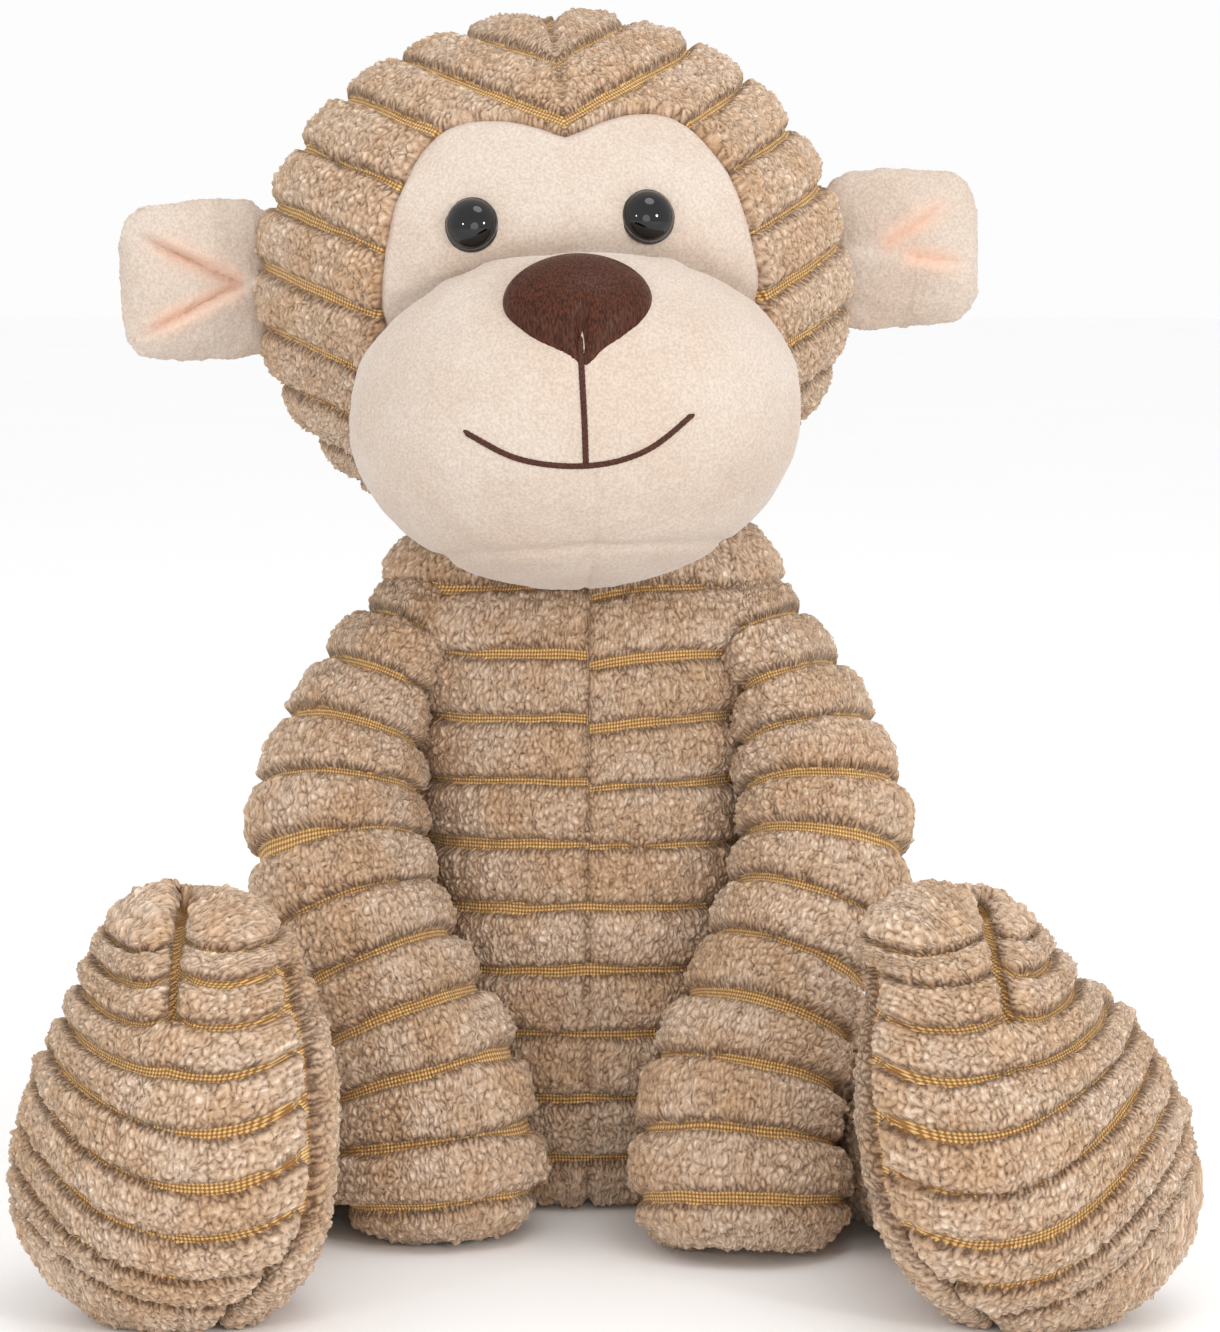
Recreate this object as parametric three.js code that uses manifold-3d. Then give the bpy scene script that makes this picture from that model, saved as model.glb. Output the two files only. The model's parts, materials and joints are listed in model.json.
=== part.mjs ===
// A seated stuffed monkey: wide-wale plush over fibre stuffing, with limbs, head and ears sewn on as
// separate pieces. Millimetres, +Z up. The origin is the middle of the seat panel on the floor, and the
// monkey faces -Y, so its own left is +X. Every fabric piece is a shell FABRIC thick, cut from a soft form,
// and the stuffing fills what is left.
import * as THREE from "three";
import { mergeVertices } from "three/addons/utils/BufferGeometryUtils.js";
import Module from "manifold-3d";

const wasm = await Module();
wasm.setup();

const V = (x, y, z) => new THREE.Vector3(x, y, z);
const mirrored = (p, side) => V(p.x * side, p.y, p.z);
const radians = THREE.MathUtils.degToRad;

// Driving dimensions
const FABRIC = 3; // fabric and pile, pressed
const GAP = 0.4; // left between pieces that are sewn or pressed together
const SEAT = { halfWide: 34, halfDeep: 29 }; // the flat seat panel
const SHOULDER = { x: 41, y: -3, z: 137 }; // centre of each sewn shoulder, mirrored in x
const SEAM_RADIUS = 31; // of the flat that each limb turns on
const SEAM_DEPTH = 40; // how far that flat's cut reaches past a limb
const HIP = { x: 45, y: -8, z: 25 }; // centre of each sewn hip, mirrored in x
const SHOULDER_TILT = 0.08; // rise of each shoulder's hinge line per millimetre outwards
const LEG_TURNOUT = 18; // degrees that each leg points outwards
const FOOT_TURNOUT = 10; // degrees that each sole faces outwards
const LIMB_LIFT = 0.8; // of the legs and feet off the floor
const POUCH = { centre: V(0, 2, 19.4), half: V(33, 29, 16) };
const NECK = V(-4, 4, 160);
const HEAD = {
  centre: V(-8.6, -4, 225.5),
  half: V(71, 60, 62),
  turn: 5.5, // degrees, towards its own left
  roll: -2.5, // degrees, its own left side up
};
// The rest of the head is placed from its centre.
const FACE = { dip: 35, brow: 40, side: 43, bottom: -46, back: -8 };
const MUZZLE = { centre: V(0, -49, -29.5), half: V(52, 44, 39.5) };
const CHIN = { at: V(0, 0, -62), normal: V(0, 0.12, 1) };
const NOSE = { centre: V(-0.4, -80, -5), half: V(16.2, 10.5, 13.2) };
const MOUTH = {
  width: 1.6,
  raised: 1.3,
  smile: [[-28, -31], [-16, -37.5], [-1.5, -39.5], [12, -37], [24, -29]],
  upright: [[-1.5, -16.5], [-1.5, -28], [-1.5, -39.3]],
};
const EYE = { x: 20.4, shift: -2.6, z: 15.5, radius: 6, dome: 4.4, shank: 1.6, shankLength: 11 };
const WASHER = { radius: 6.5, bore: 1.9, back: -7, front: -5.6 };
const EAR = { x: 68, z: 4, length: 36, halfTall: 18.5, halfThick: 5.5 };
const NECK_SEAM = { radius: 13, thread: 1 };
const CENTRE_SEAM = -2; // x of the seams down the torso's front and back

const MATERIALS = {
  plush: new THREE.MeshStandardMaterial({ color: 0xc9a884, roughness: 0.95, metalness: 0 }),
  cream: new THREE.MeshStandardMaterial({ color: 0xeedccb, roughness: 0.9, metalness: 0 }),
  nose: new THREE.MeshStandardMaterial({ color: 0x5d3324, roughness: 0.6, metalness: 0 }),
  thread: new THREE.MeshStandardMaterial({ color: 0x4a241b, roughness: 0.6, metalness: 0 }),
  eye: new THREE.MeshStandardMaterial({ color: 0x0b0a0b, roughness: 0.08, metalness: 0 }),
  washer: new THREE.MeshStandardMaterial({ color: 0xe8e6e0, roughness: 0.4, metalness: 0 }),
  stuffing: new THREE.MeshStandardMaterial({ color: 0xf6f5f2, roughness: 1, metalness: 0 }),
  pouch: new THREE.MeshStandardMaterial({ color: 0xd9d6cf, roughness: 0.8, metalness: 0 }),
};

// ---- From three.js geometry to solids, and back

function solid(geometry) {
  const bare = geometry.clone();
  for (const name of ["normal", "uv"]) bare.deleteAttribute(name);
  const merged = mergeVertices(bare, 1e-4);
  return new wasm.Manifold(
    new wasm.Mesh({
      numProp: 3,
      vertProperties: new Float32Array(merged.attributes.position.array),
      triVerts: new Uint32Array(merged.index.array),
    }),
  );
}

function geometry(made) {
  const mesh = made.getMesh();
  const found = new THREE.BufferGeometry();
  found.setAttribute("position", new THREE.BufferAttribute(mesh.vertProperties, 3));
  found.setIndex(new THREE.BufferAttribute(mesh.triVerts, 1));
  return found;
}

function piece(group, name, material, made) {
  const mesh = new THREE.Mesh(geometry(made), MATERIALS[material]);
  mesh.name = name;
  group.add(mesh);
}

// ---- Soft forms

// The value of a table of [share, a, b, ...] rows at a share of the way along, eased from row to row.
function along(table, share, column) {
  const last = table.findIndex((row) => row[0] >= share);
  if (last <= 0) return table[0][column];
  const [from, to] = [table[last - 1], table[last]];
  const t = (share - from[0]) / (to[0] - from[0]);
  const eased = (t + t * t * (3 - 2 * t)) / 2;
  return from[column] + (to[column] - from[column]) * eased;
}

// A closed form round a spine. Its sizes are rows of [share along, half across, half deep], and ends says
// how full its two ends are: 2 is an ellipsoid's, and more is blunter.
function softForm({ spine, across, sizes, ends, inset = 0, around = 16, rings = 10 }) {
  const curve = new THREE.CatmullRomCurve3(spine, false, "centripetal");
  const trim = inset / curve.getLength();
  const form = new THREE.SphereGeometry(1, around, rings);
  const position = form.attributes.position;
  const v = V(0, 0, 0);
  for (let i = 0; i < position.count; i++) {
    v.fromBufferAttribute(position, i);
    const round = Math.hypot(v.x, v.z);
    const [cos, sin] = round > 1e-6 ? [v.x / round, v.z / round] : [1, 0];
    const share = (1 - v.y) / 2;
    const fullness = ends[share < 0.5 ? 0 : 1];
    const cap = Math.abs(v.y) > 1 - 1e-6 ? 0 : (1 - Math.abs(v.y) ** fullness) ** (1 / fullness);
    const reached = trim + (1 - 2 * trim) * share;
    const at = THREE.MathUtils.clamp(reached, 0, 1);
    const tangent = curve.getTangentAt(at);
    const side = across.clone().addScaledVector(tangent, -across.dot(tangent)).normalize();
    const deep = tangent.clone().cross(side);
    const point = curve
      .getPointAt(at)
      .addScaledVector(tangent, (reached - at) * curve.getLength())
      .addScaledVector(side, cos * cap * (along(sizes, at, 1) - inset))
      .addScaledVector(deep, sin * cap * (along(sizes, at, 2) - inset));
    position.setXYZ(i, point.x, point.y, point.z);
  }
  return solid(form);
}

function ellipsoid(centre, half, inset = 0, around = 24, rings = 16) {
  const form = new THREE.SphereGeometry(1, around, rings);
  form.scale(half.x - inset, half.z - inset, half.y - inset);
  form.rotateX(Math.PI / 2);
  form.translate(centre.x, centre.y, centre.z);
  return solid(form);
}

// A box from its lowest to its highest corner.
function block(low, high) {
  const size = high.clone().sub(low);
  const form = new THREE.BoxGeometry(size.x, size.y, size.z);
  form.translate(low.x + size.x / 2, low.y + size.y / 2, low.z + size.z / 2);
  return solid(form);
}

// All the space on the side of a plane that its normal points to.
function halfSpace(point, normal) {
  const reach = 400;
  const form = new THREE.BoxGeometry(reach, reach, reach);
  form.translate(0, 0, reach / 2);
  form.applyQuaternion(new THREE.Quaternion().setFromUnitVectors(V(0, 0, 1), normal.clone().normalize()));
  form.translate(point.x, point.y, point.z);
  return solid(form);
}

// The two parts of a solid on the sides of a plane, with the sewing gap between them: [behind, in front].
function sewn(whole, point, normal) {
  const n = normal.clone().normalize();
  const front = halfSpace(point.clone().addScaledVector(n, GAP / 2), n);
  const back = halfSpace(point.clone().addScaledVector(n, -GAP / 2), n.clone().negate());
  return [whole.intersect(back), whole.intersect(front)];
}

// A turned profile of [radius, height] rows on a line through a point.
function turned(profile, at, direction, segments = 16) {
  const form = new THREE.LatheGeometry(profile.map(([r, h]) => new THREE.Vector2(r, h)), segments);
  form.applyQuaternion(new THREE.Quaternion().setFromUnitVectors(V(0, 1, 0), direction));
  form.translate(at.x, at.y, at.z);
  return solid(form);
}
const rod = (radius, from, to, at, direction) =>
  turned([[0, from], [radius, from], [radius, to], [0, to]], at, direction, 16);

// A bar with its outline in the XZ plane, from y = near to y = far.
function bar(shape, near, far, curveSegments = 8) {
  const form = new THREE.ExtrudeGeometry(shape, { depth: far - near, bevelEnabled: false, curveSegments });
  form.rotateX(Math.PI / 2);
  form.translate(0, far, 0);
  return solid(form);
}

// The largest of a solid's bodies, which drops slivers that a cut leaves.
const main = (made) =>
  made.decompose().reduce((best, each) => (each.volume() > best.volume() ? each : best));

const toy = new THREE.Group();

// ---- Torso

const TORSO_SPINE = [V(0, 0, -6), V(0, 2, 55), V(-1, 2, 110), V(-3, 3, 158)];
const TORSO_SIZES = [
  [0, 48, 38],
  [0.2, 50, 40],
  [0.45, 46, 39],
  [0.65, 43, 37],
  [0.85, 45, 36],
  [1, 45, 33],
];

const legDirection = (side) => {
  const turnout = radians(LEG_TURNOUT);
  return V(Math.sin(turnout) * side, -Math.cos(turnout), 0);
};
// The hinge lines of the limbs, each at a right angle to the limb's first stretch.
const hipAxis = (side) => V(0, 0, 1).cross(legDirection(side)).normalize();
const shoulderAxis = (side) => V(1, 0, SHOULDER_TILT * side).normalize();
// The way out of the torso along each hinge line.
const outward = (axis, side) => axis.clone().multiplyScalar(Math.sign(axis.x) * side);

function torsoForm(inset, detail) {
  const form = softForm({
    spine: TORSO_SPINE,
    across: V(1, 0, 0),
    sizes: TORSO_SIZES,
    ends: [5, 6],
    inset,
    ...detail,
  });
  let cut = form.subtract(halfSpace(V(0, 0, inset), V(0, 0, -1)));
  for (const side of [-1, 1]) {
    const seams = [
      [mirrored(SHOULDER, side), outward(shoulderAxis(side), side)],
      [mirrored(HIP, side), outward(hipAxis(side), side)],
    ];
    for (const [at, out] of seams)
      cut = cut.subtract(rod(SEAM_RADIUS + inset, -inset - GAP, SEAM_DEPTH, at, out));
  }
  return cut;
}

function buildTorso() {
  const group = new THREE.Group();
  const seatForm = (grow, top) => {
    const form = new THREE.CylinderGeometry(1, 1, top, 32);
    form.rotateX(Math.PI / 2);
    form.scale(SEAT.halfWide + grow, SEAT.halfDeep + grow, 1);
    form.translate(0, 0, top / 2);
    return solid(form);
  };
  const outer = torsoForm(0, { around: 24, rings: 12 });
  const inner = torsoForm(FABRIC, { around: 14, rings: 8 });
  const shell = outer.subtract(inner).subtract(seatForm(GAP, 3 * FABRIC));
  const [front, back] = sewn(shell, V(0, 2, 0), V(0, 1, 0));
  const [frontRight, frontLeft] = sewn(front, V(CENTRE_SEAM, 0, 0), V(1, 0, 0));
  const [backRight, backLeft] = sewn(back, V(CENTRE_SEAM, 0, 0), V(1, 0, 0));
  piece(group, "torso_front_left", "plush", main(frontLeft));
  piece(group, "torso_front_right", "plush", main(frontRight));
  piece(group, "torso_back_left", "plush", main(backLeft));
  piece(group, "torso_back_right", "plush", main(backRight));
  piece(group, "seat_panel", "plush", seatForm(0, FABRIC));

  const pouchForm = (grow) => ellipsoid(POUCH.centre, POUCH.half, -grow, 16, 8);
  piece(group, "pellet_pouch", "pouch", pouchForm(0));
  const under = block(V(-20, -18, 0), V(20, 20, POUCH.centre.z));
  const fill = torsoForm(FABRIC + GAP, { around: 14, rings: 8 });
  piece(group, "torso_stuffing", "stuffing", main(fill.subtract(pouchForm(GAP)).subtract(under)));
  return group;
}

// ---- Arms

// Each arm's spine, outwards from the middle line: shoulder, upper arm, elbow, forearm, wrist and hand.
const ARM_BENDS = {
  left: [
    V(44, -4, 159),
    V(52.5, -18, 120),
    V(56.5, -35, 90),
    V(43, -51, 54),
    V(38, -62, 25),
    V(39, -64, 1),
  ],
  right: [
    V(46, -4, 159),
    V(56, -18, 120),
    V(60, -33, 92),
    V(45, -48, 54),
    V(35, -55, 25),
    V(34, -56, 1),
  ],
};
const ARM_SEAM = { at: V(0, -12, -40), normal: V(0, -0.92, -0.39) }; // from the shoulder

function buildArm(side, name) {
  const group = new THREE.Group();
  const root = mirrored(SHOULDER, side);
  const out = outward(shoulderAxis(side), side);
  group.position.copy(root);
  const spine = ARM_BENDS[name].map((p) => mirrored(p, side).sub(root));
  const sizes = [
    [0, 14, 15],
    [0.25, 17, 17],
    [0.45, 20, 18],
    [0.65, 19, 18],
    [0.8, 23, 19],
    [1, 27, 20],
  ];
  const form = (inset, detail) =>
    softForm({ spine, across: V(1, 0, 0), sizes, ends: [3.4, 3.6], inset, ...detail }).subtract(
      rod(SEAM_RADIUS - 1 + inset, -SEAM_DEPTH, inset + GAP, V(0, 0, 0), out),
    );
  const coarse = { around: 10, rings: 10 };
  const shell = form(0, { around: 16, rings: 14 }).subtract(form(FABRIC, coarse));
  const [back, front] = sewn(shell, ARM_SEAM.at, ARM_SEAM.normal);
  piece(group, name + "_arm_back", "plush", main(back));
  piece(group, name + "_arm_front", "plush", main(front));
  piece(group, name + "_arm_stuffing", "stuffing", main(form(FABRIC + GAP, coarse)));
  return group;
}

// ---- Legs and feet

// How far out each heel stands, and how far the toe leans inwards over it.
const FOOT_STANCE = { left: { heelX: 102, lean: 24 }, right: { heelX: 91, lean: 6 } };

function buildLeg(side, name) {
  const group = new THREE.Group();
  const root = mirrored(HIP, side);
  const out = outward(hipAxis(side), side);
  const ahead = legDirection(side);
  group.position.copy(root);
  const { heelX, lean } = FOOT_STANCE[name];
  const heel = V(heelX, -121, 0);
  // a point so far along the leg, out from the torso and up from the floor
  const at = (forward, sideways, up) =>
    V(0, 0, up - HIP.z).addScaledVector(ahead, forward).addScaledVector(out, sideways);
  // all the space under the sole of a form set in so far
  const underside = (inset) => halfSpace(V(0, 0, inset + LIMB_LIFT - HIP.z), V(0, 0, -1));
  const legForm = (inset, detail) =>
    softForm({
      spine: [at(-24, 17, 23), at(10, 17, 22), at(60, 18, 20), at(106, 18, 22)],
      across: out,
      sizes: [
        [0, 18, 20],
        [0.5, 16, 19],
        [1, 18, 19],
      ],
      ends: [2.6, 4],
      inset,
      ...detail,
    })
      .intersect(halfSpace(out.clone().multiplyScalar(GAP + inset), out))
      .subtract(underside(inset));
  const footSpine = [
    heel,
    V(heel.x - lean * 0.1, -125, 28),
    V(heel.x - lean * 0.6, -122, 66),
    V(heel.x - lean, -115, 93),
  ].map((p) => mirrored(p, side).sub(root));
  const footAcross = V(1, 0, 0).applyAxisAngle(V(0, 0, 1), radians(FOOT_TURNOUT * side));
  const footForm = (inset, detail) =>
    softForm({
      spine: footSpine,
      across: footAcross,
      sizes: [
        [0, 33, 26],
        [0.3, 35, 27],
        [0.65, 32, 25],
        [1, 27, 21],
      ],
      ends: [2.6, 2.3],
      inset,
      ...detail,
    }).subtract(underside(inset));

  const coarse = { around: 12, rings: 8 };
  const coarser = { around: 10, rings: 6 };
  const footOuter = footForm(0, { around: 18, rings: 12 });
  const legOuter = legForm(0, { around: 14, rings: 8 });
  const footInner = footForm(FABRIC, coarse);
  const legInner = legForm(FABRIC, coarser);
  const footShell = footOuter.subtract(footInner);
  const [footBack, footFront] = sewn(footShell, mirrored(heel, side).sub(root), V(0, -1, 0.04));
  const legShell = legOuter.subtract(legInner).subtract(footForm(-GAP, coarse));
  const [legUnder, legTop] = sewn(legShell, V(0, 0, -3), V(0, 0, 1));
  piece(group, name + "_foot_sole", "plush", main(footFront));
  piece(group, name + "_foot_upper", "plush", main(footBack.subtract(legForm(-FABRIC - GAP, coarse))));
  piece(group, name + "_leg_top", "plush", main(legTop));
  piece(group, name + "_leg_under", "plush", main(legUnder));
  piece(group, name + "_foot_stuffing", "stuffing", main(footForm(FABRIC + GAP, coarse)));
  const legFill = legForm(FABRIC + GAP, coarser).subtract(footForm(GAP, coarse));
  piece(group, name + "_leg_stuffing", "stuffing", main(legFill));
  return group;
}

// ---- Head

// The outline of a line of thread, seen from in front.
function strip(points, width) {
  const curve = new THREE.SplineCurve(points);
  const steps = 8;
  const samples = curve.getPoints(steps);
  const sideways = (i) => {
    const t = curve.getTangent(i / steps);
    return new THREE.Vector2(-t.y, t.x).multiplyScalar(width / 2);
  };
  const upper = samples.map((p, i) => p.clone().add(sideways(i)));
  const lower = samples.map((p, i) => p.clone().sub(sideways(i))).reverse();
  return new THREE.Shape([...upper, ...lower]);
}

// The face panel's heart-shaped outline, seen from in front.
function faceShape(grow) {
  const shape = new THREE.Shape();
  const side = FACE.side + grow;
  const brow = FACE.brow + grow;
  const dip = FACE.dip + grow;
  const bottom = FACE.bottom - grow;
  shape.moveTo(0, dip);
  shape.bezierCurveTo(6, brow - 3, 10, brow, 19, brow);
  shape.bezierCurveTo(33, brow, side - 4, 27, side, 2);
  shape.bezierCurveTo(side + 4, -22, side - 6, -44, 0, bottom);
  shape.bezierCurveTo(-side + 6, -44, -side - 4, -22, -side, 2);
  shape.bezierCurveTo(-side + 4, 27, -33, brow, -19, brow);
  shape.bezierCurveTo(-10, brow, -6, brow - 3, 0, dip);
  return shape;
}

// An eye's place on the head, and the way it looks.
function eyePlace(side) {
  const { x, y, z } = HEAD.half;
  const at = V(EYE.x * side + EYE.shift, 0, EYE.z);
  at.y = -y * Math.sqrt(1 - (at.x / x) ** 2 - (at.z / z) ** 2);
  const look = V(at.x / x ** 2, at.y / y ** 2, at.z / z ** 2).normalize();
  return { at, look };
}

// A group whose origin and axes are the head's.
function headGroup() {
  const group = new THREE.Group();
  group.position.copy(HEAD.centre);
  group.rotation.set(0, radians(HEAD.roll), radians(HEAD.turn), "ZYX");
  return group;
}

function buildHead() {
  const group = headGroup();
  const middle = V(0, 0, 0);
  const skull = (inset, around, rings) => ellipsoid(middle, HEAD.half, inset, around, rings);
  const snout = (inset, around, rings) => ellipsoid(MUZZLE.centre, MUZZLE.half, inset, around, rings);

  let skullShell = skull(0, 24, 16).subtract(skull(FABRIC, 16, 12));
  let fill = skull(FABRIC + GAP, 16, 12);
  const eyes = [-1, 1].map((side) => ({ side, ...eyePlace(side) }));
  for (const { at, look } of eyes) {
    skullShell = skullShell.subtract(rod(EYE.shank + GAP, -8, 4, at, look));
    fill = fill
      .subtract(rod(WASHER.radius + 1, WASHER.back - 1, 4, at, look))
      .subtract(rod(EYE.shank + 1, -EYE.shankLength - 2, 4, at, look));
  }
  const facePart = skullShell.intersect(bar(faceShape(-GAP / 2), -90, FACE.back));
  const hood = skullShell.subtract(bar(faceShape(GAP / 2), -90, FACE.back + GAP));
  const [hoodRight, hoodLeft] = sewn(hood, middle, V(1, 0, 0));
  piece(group, "hood_left", "plush", main(hoodLeft));
  piece(group, "hood_right", "plush", main(hoodRight));
  const throat = skull(-GAP, 24, 16);
  piece(group, "face_panel", "cream", main(facePart));
  piece(group, "head_stuffing", "stuffing", main(fill));

  const snoutShell = snout(0, 20, 14).subtract(snout(FABRIC, 14, 10)).subtract(throat);
  const [chin, cheeks] = sewn(snoutShell, CHIN.at, CHIN.normal);
  const [cheekRight, cheekLeft] = sewn(cheeks, middle, V(1, 0, 0));
  piece(group, "muzzle_left", "cream", main(cheekLeft));
  piece(group, "muzzle_right", "cream", main(cheekRight));
  piece(group, "chin_panel", "cream", main(chin));
  piece(group, "muzzle_stuffing", "stuffing", main(snout(FABRIC + GAP, 14, 10).subtract(throat)));

  const noseForm = ellipsoid(NOSE.centre, NOSE.half, 0, 16, 10);
  piece(group, "nose", "nose", main(noseForm.subtract(snout(-GAP, 20, 14))));

  const line = (points) => {
    const flat = points.map(([x, z]) => new THREE.Vector2(x, z));
    return bar(strip(flat, MOUTH.width), -110, -60);
  };
  const lines = line(MOUTH.smile).add(line(MOUTH.upright));
  const threadLayer = snout(-MOUTH.raised, 20, 14).subtract(snout(-GAP, 20, 14));
  piece(group, "mouth_stitching", "thread", main(lines.intersect(threadLayer)));

  for (const { side, at, look } of eyes) {
    const name = side > 0 ? "left" : "right";
    const { radius, dome, shank, shankLength } = EYE;
    const rim = GAP + 0.9;
    const profile = [[0, -shankLength], [shank, -shankLength], [shank, GAP], [radius, GAP + 0.6]];
    for (const angle of [20, 40, 60, 78]) {
      const a = radians(angle);
      profile.push([radius * Math.cos(a), rim + dome * Math.sin(a)]);
    }
    profile.push([0, rim + dome]);
    piece(group, name + "_eye", "eye", turned(profile, at, look));
    const { bore, back, front } = WASHER;
    const ring = [
      [bore, back],
      [WASHER.radius, back],
      [WASHER.radius, front],
      [bore, front],
      [bore, back],
    ];
    piece(group, name + "_eye_washer", "washer", turned(ring, at, look));
  }
  return group;
}

// ---- Ears

function buildEar(side, name) {
  const group = headGroup();
  const { x, z, length, halfTall, halfThick } = EAR;
  const spine = [V(x, 2, z), V(x + 16, 0, z), V(x + length, -3, z)];
  const form = softForm({
    spine: spine.map((p) => mirrored(p, side)),
    across: V(0, 0, 1),
    sizes: [
      [0, 14, 3.6],
      [0.45, halfTall, halfThick],
      [1, halfTall, halfThick],
    ],
    ends: [2.2, 3.4],
    around: 14,
    rings: 10,
  });
  const rootGap = ellipsoid(V(0, 0, 0), HEAD.half, -1.6, 24, 16);
  const [back, front] = sewn(form.subtract(rootGap), V(x * side, 1.8, 0), V(-0.1 * side, -1, 0));
  piece(group, name + "_ear_front", "cream", main(front));
  piece(group, name + "_ear_back", "cream", main(back));
  return group;
}

// ---- Neck seam

function buildNeckSeam() {
  const group = new THREE.Group();
  const form = new THREE.TorusGeometry(NECK_SEAM.radius, NECK_SEAM.thread, 6, 24);
  form.translate(NECK.x, NECK.y, NECK.z);
  piece(group, "neck_seam", "thread", solid(form));
  return group;
}

toy.add(buildTorso(), buildNeckSeam(), buildHead());
for (const [side, name] of [[1, "left"], [-1, "right"]])
  toy.add(buildArm(side, name), buildLeg(side, name), buildEar(side, name));

export default toy;
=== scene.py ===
import itertools
import json
import math

import bmesh
import bpy
import numpy as np
from mathutils import Matrix, Vector


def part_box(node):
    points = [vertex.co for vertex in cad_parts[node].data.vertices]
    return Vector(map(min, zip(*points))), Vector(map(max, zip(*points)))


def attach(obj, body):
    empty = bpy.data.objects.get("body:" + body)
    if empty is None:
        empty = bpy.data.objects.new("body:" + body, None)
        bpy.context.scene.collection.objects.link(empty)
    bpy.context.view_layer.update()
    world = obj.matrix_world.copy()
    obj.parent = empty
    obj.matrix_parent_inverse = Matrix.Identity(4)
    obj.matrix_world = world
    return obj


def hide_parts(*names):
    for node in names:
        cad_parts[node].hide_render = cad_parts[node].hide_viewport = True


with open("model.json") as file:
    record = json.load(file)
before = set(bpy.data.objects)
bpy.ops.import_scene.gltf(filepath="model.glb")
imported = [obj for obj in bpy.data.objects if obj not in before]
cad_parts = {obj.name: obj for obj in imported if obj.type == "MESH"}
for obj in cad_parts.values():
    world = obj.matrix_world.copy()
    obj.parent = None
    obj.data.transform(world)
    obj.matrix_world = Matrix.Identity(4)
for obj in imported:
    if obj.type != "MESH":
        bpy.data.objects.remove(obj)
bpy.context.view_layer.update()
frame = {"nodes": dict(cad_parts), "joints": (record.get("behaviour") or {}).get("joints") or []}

# Lengths in this script are millimetres until a mesh is written, which is in metres.
MM = 0.001
scene = bpy.context.scene

# The cloth
WALE = 15.4  # pitch of the wale
FOOT_WALE = 12.2
PILE = 2.5  # height of a wale over its groove
GROUND = 0.6  # how far a groove lies under the CAD surface
GOLD_GAP = 1.05  # usual half width of a groove

# The camera looks from in front and a little above.
CAMERA_RISE = 7.0
CAMERA_DISTANCE = 1000.0
CAMERA_AIM = (5.4, 0.0, 130.0)
CAMERA_LENS = 108.7

JOINTS = {j["name"]: j for j in frame["joints"]}


def joint_at(name):
    return np.array(JOINTS[name]["pos_m"]) / MM


def joint_axis(name):
    axis = np.array(JOINTS[name]["axis"], float)
    return axis / np.linalg.norm(axis)


def box_mm(*nodes):
    boxes = [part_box(n) for n in nodes]
    low = np.min([np.array(b[0]) for b in boxes], axis=0) / MM
    high = np.max([np.array(b[1]) for b in boxes], axis=0) / MM
    return low, high


# The head's own frame: its middle, and its left, back and up directions as rows.
HEAD_LOW, HEAD_HIGH = box_mm("hood_left", "hood_right")
HEAD = (HEAD_LOW + HEAD_HIGH) / 2
HEAD_LEFT = joint_at("left_ear_fold") - joint_at("right_ear_fold")
HEAD_LEFT /= np.linalg.norm(HEAD_LEFT)
HEAD_UP = joint_axis("left_ear_fold")
HEAD_AXES = np.array([HEAD_LEFT, np.cross(HEAD_UP, HEAD_LEFT), HEAD_UP])
SKULL = np.array([71.0, 60.0, 62.0])  # half width, depth and height
MUZZLE = np.array([0.0, -49.0, -29.5])
MUZZLE_HALF = np.array([52.0, 44.0, 39.5])


def to_head(p):
    return (p - HEAD) @ HEAD_AXES.T


def from_head(p):
    return np.asarray(p, float) @ HEAD_AXES + HEAD


# ---- Noise, the same at every run

def mixed(cells, seed):
    """Three numbers from 0 to 1 for each row of whole numbers."""
    h = (cells[:, 0] * 73856093) ^ (cells[:, 1] * 19349663) ^ (cells[:, 2] * 83492791) ^ (seed * 2654435761)
    out = []
    for k in (1, 2, 3):
        v = (h + k * 0x9E3779B1) & 0xFFFFFFFF
        v = ((v ^ (v >> 16)) * 0x45D9F3B) & 0xFFFFFFFF
        v = ((v ^ (v >> 16)) * 0x45D9F3B) & 0xFFFFFFFF
        out.append(((v ^ (v >> 16)) & 0xFFFFFF) / 0xFFFFFF)
    return np.stack(out, axis=1)


def noise(p, size, seed=0):
    """Smooth noise, about -1 to 1, with features of a size."""
    q = p / size
    base = np.floor(q).astype(np.int64)
    f = q - base
    f = f * f * (3 - 2 * f)
    total = np.zeros(len(p))
    for corner in itertools.product((0, 1), repeat=3):
        share = np.prod(np.where(corner, f, 1 - f), axis=1)
        total += share * mixed(base + np.array(corner), seed)[:, 0]
    return 2 * total - 1


def tufts(q, seed=0):
    """Packed domes, one to a unit cell: how far into its dome each point is, and its dome's random number."""
    base = np.floor(q).astype(np.int64)
    first = np.full(len(q), 9.0)
    second = np.full(len(q), 9.0)
    lot = np.zeros(len(q))
    for step in itertools.product((-1, 0, 1), repeat=3):
        cell = base + np.array(step)
        spot = mixed(cell, seed)
        d = np.linalg.norm(cell + 0.15 + 0.7 * spot - q, axis=1)
        nearer = d < first
        second = np.where(nearer, first, np.minimum(second, d))
        lot = np.where(nearer, spot[:, 2], lot)
        first = np.where(nearer, d, first)
    return np.clip((second - first) / 0.5, 0, 1) ** 0.7, lot


def smooth_step(low, high, v):
    t = np.clip((v - low) / (high - low), 0, 1)
    return t * t * (3 - 2 * t)


# ---- Meshes

def co_of(mesh):
    co = np.empty(len(mesh.vertices) * 3, np.float32)
    mesh.vertices.foreach_get("co", co)
    return co.reshape(-1, 3).astype(float) / MM


def normals_of(mesh):
    n = np.empty(len(mesh.vertices) * 3, np.float32)
    mesh.vertex_normals.foreach_get("vector", n)
    return n.reshape(-1, 3).astype(float)


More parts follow.
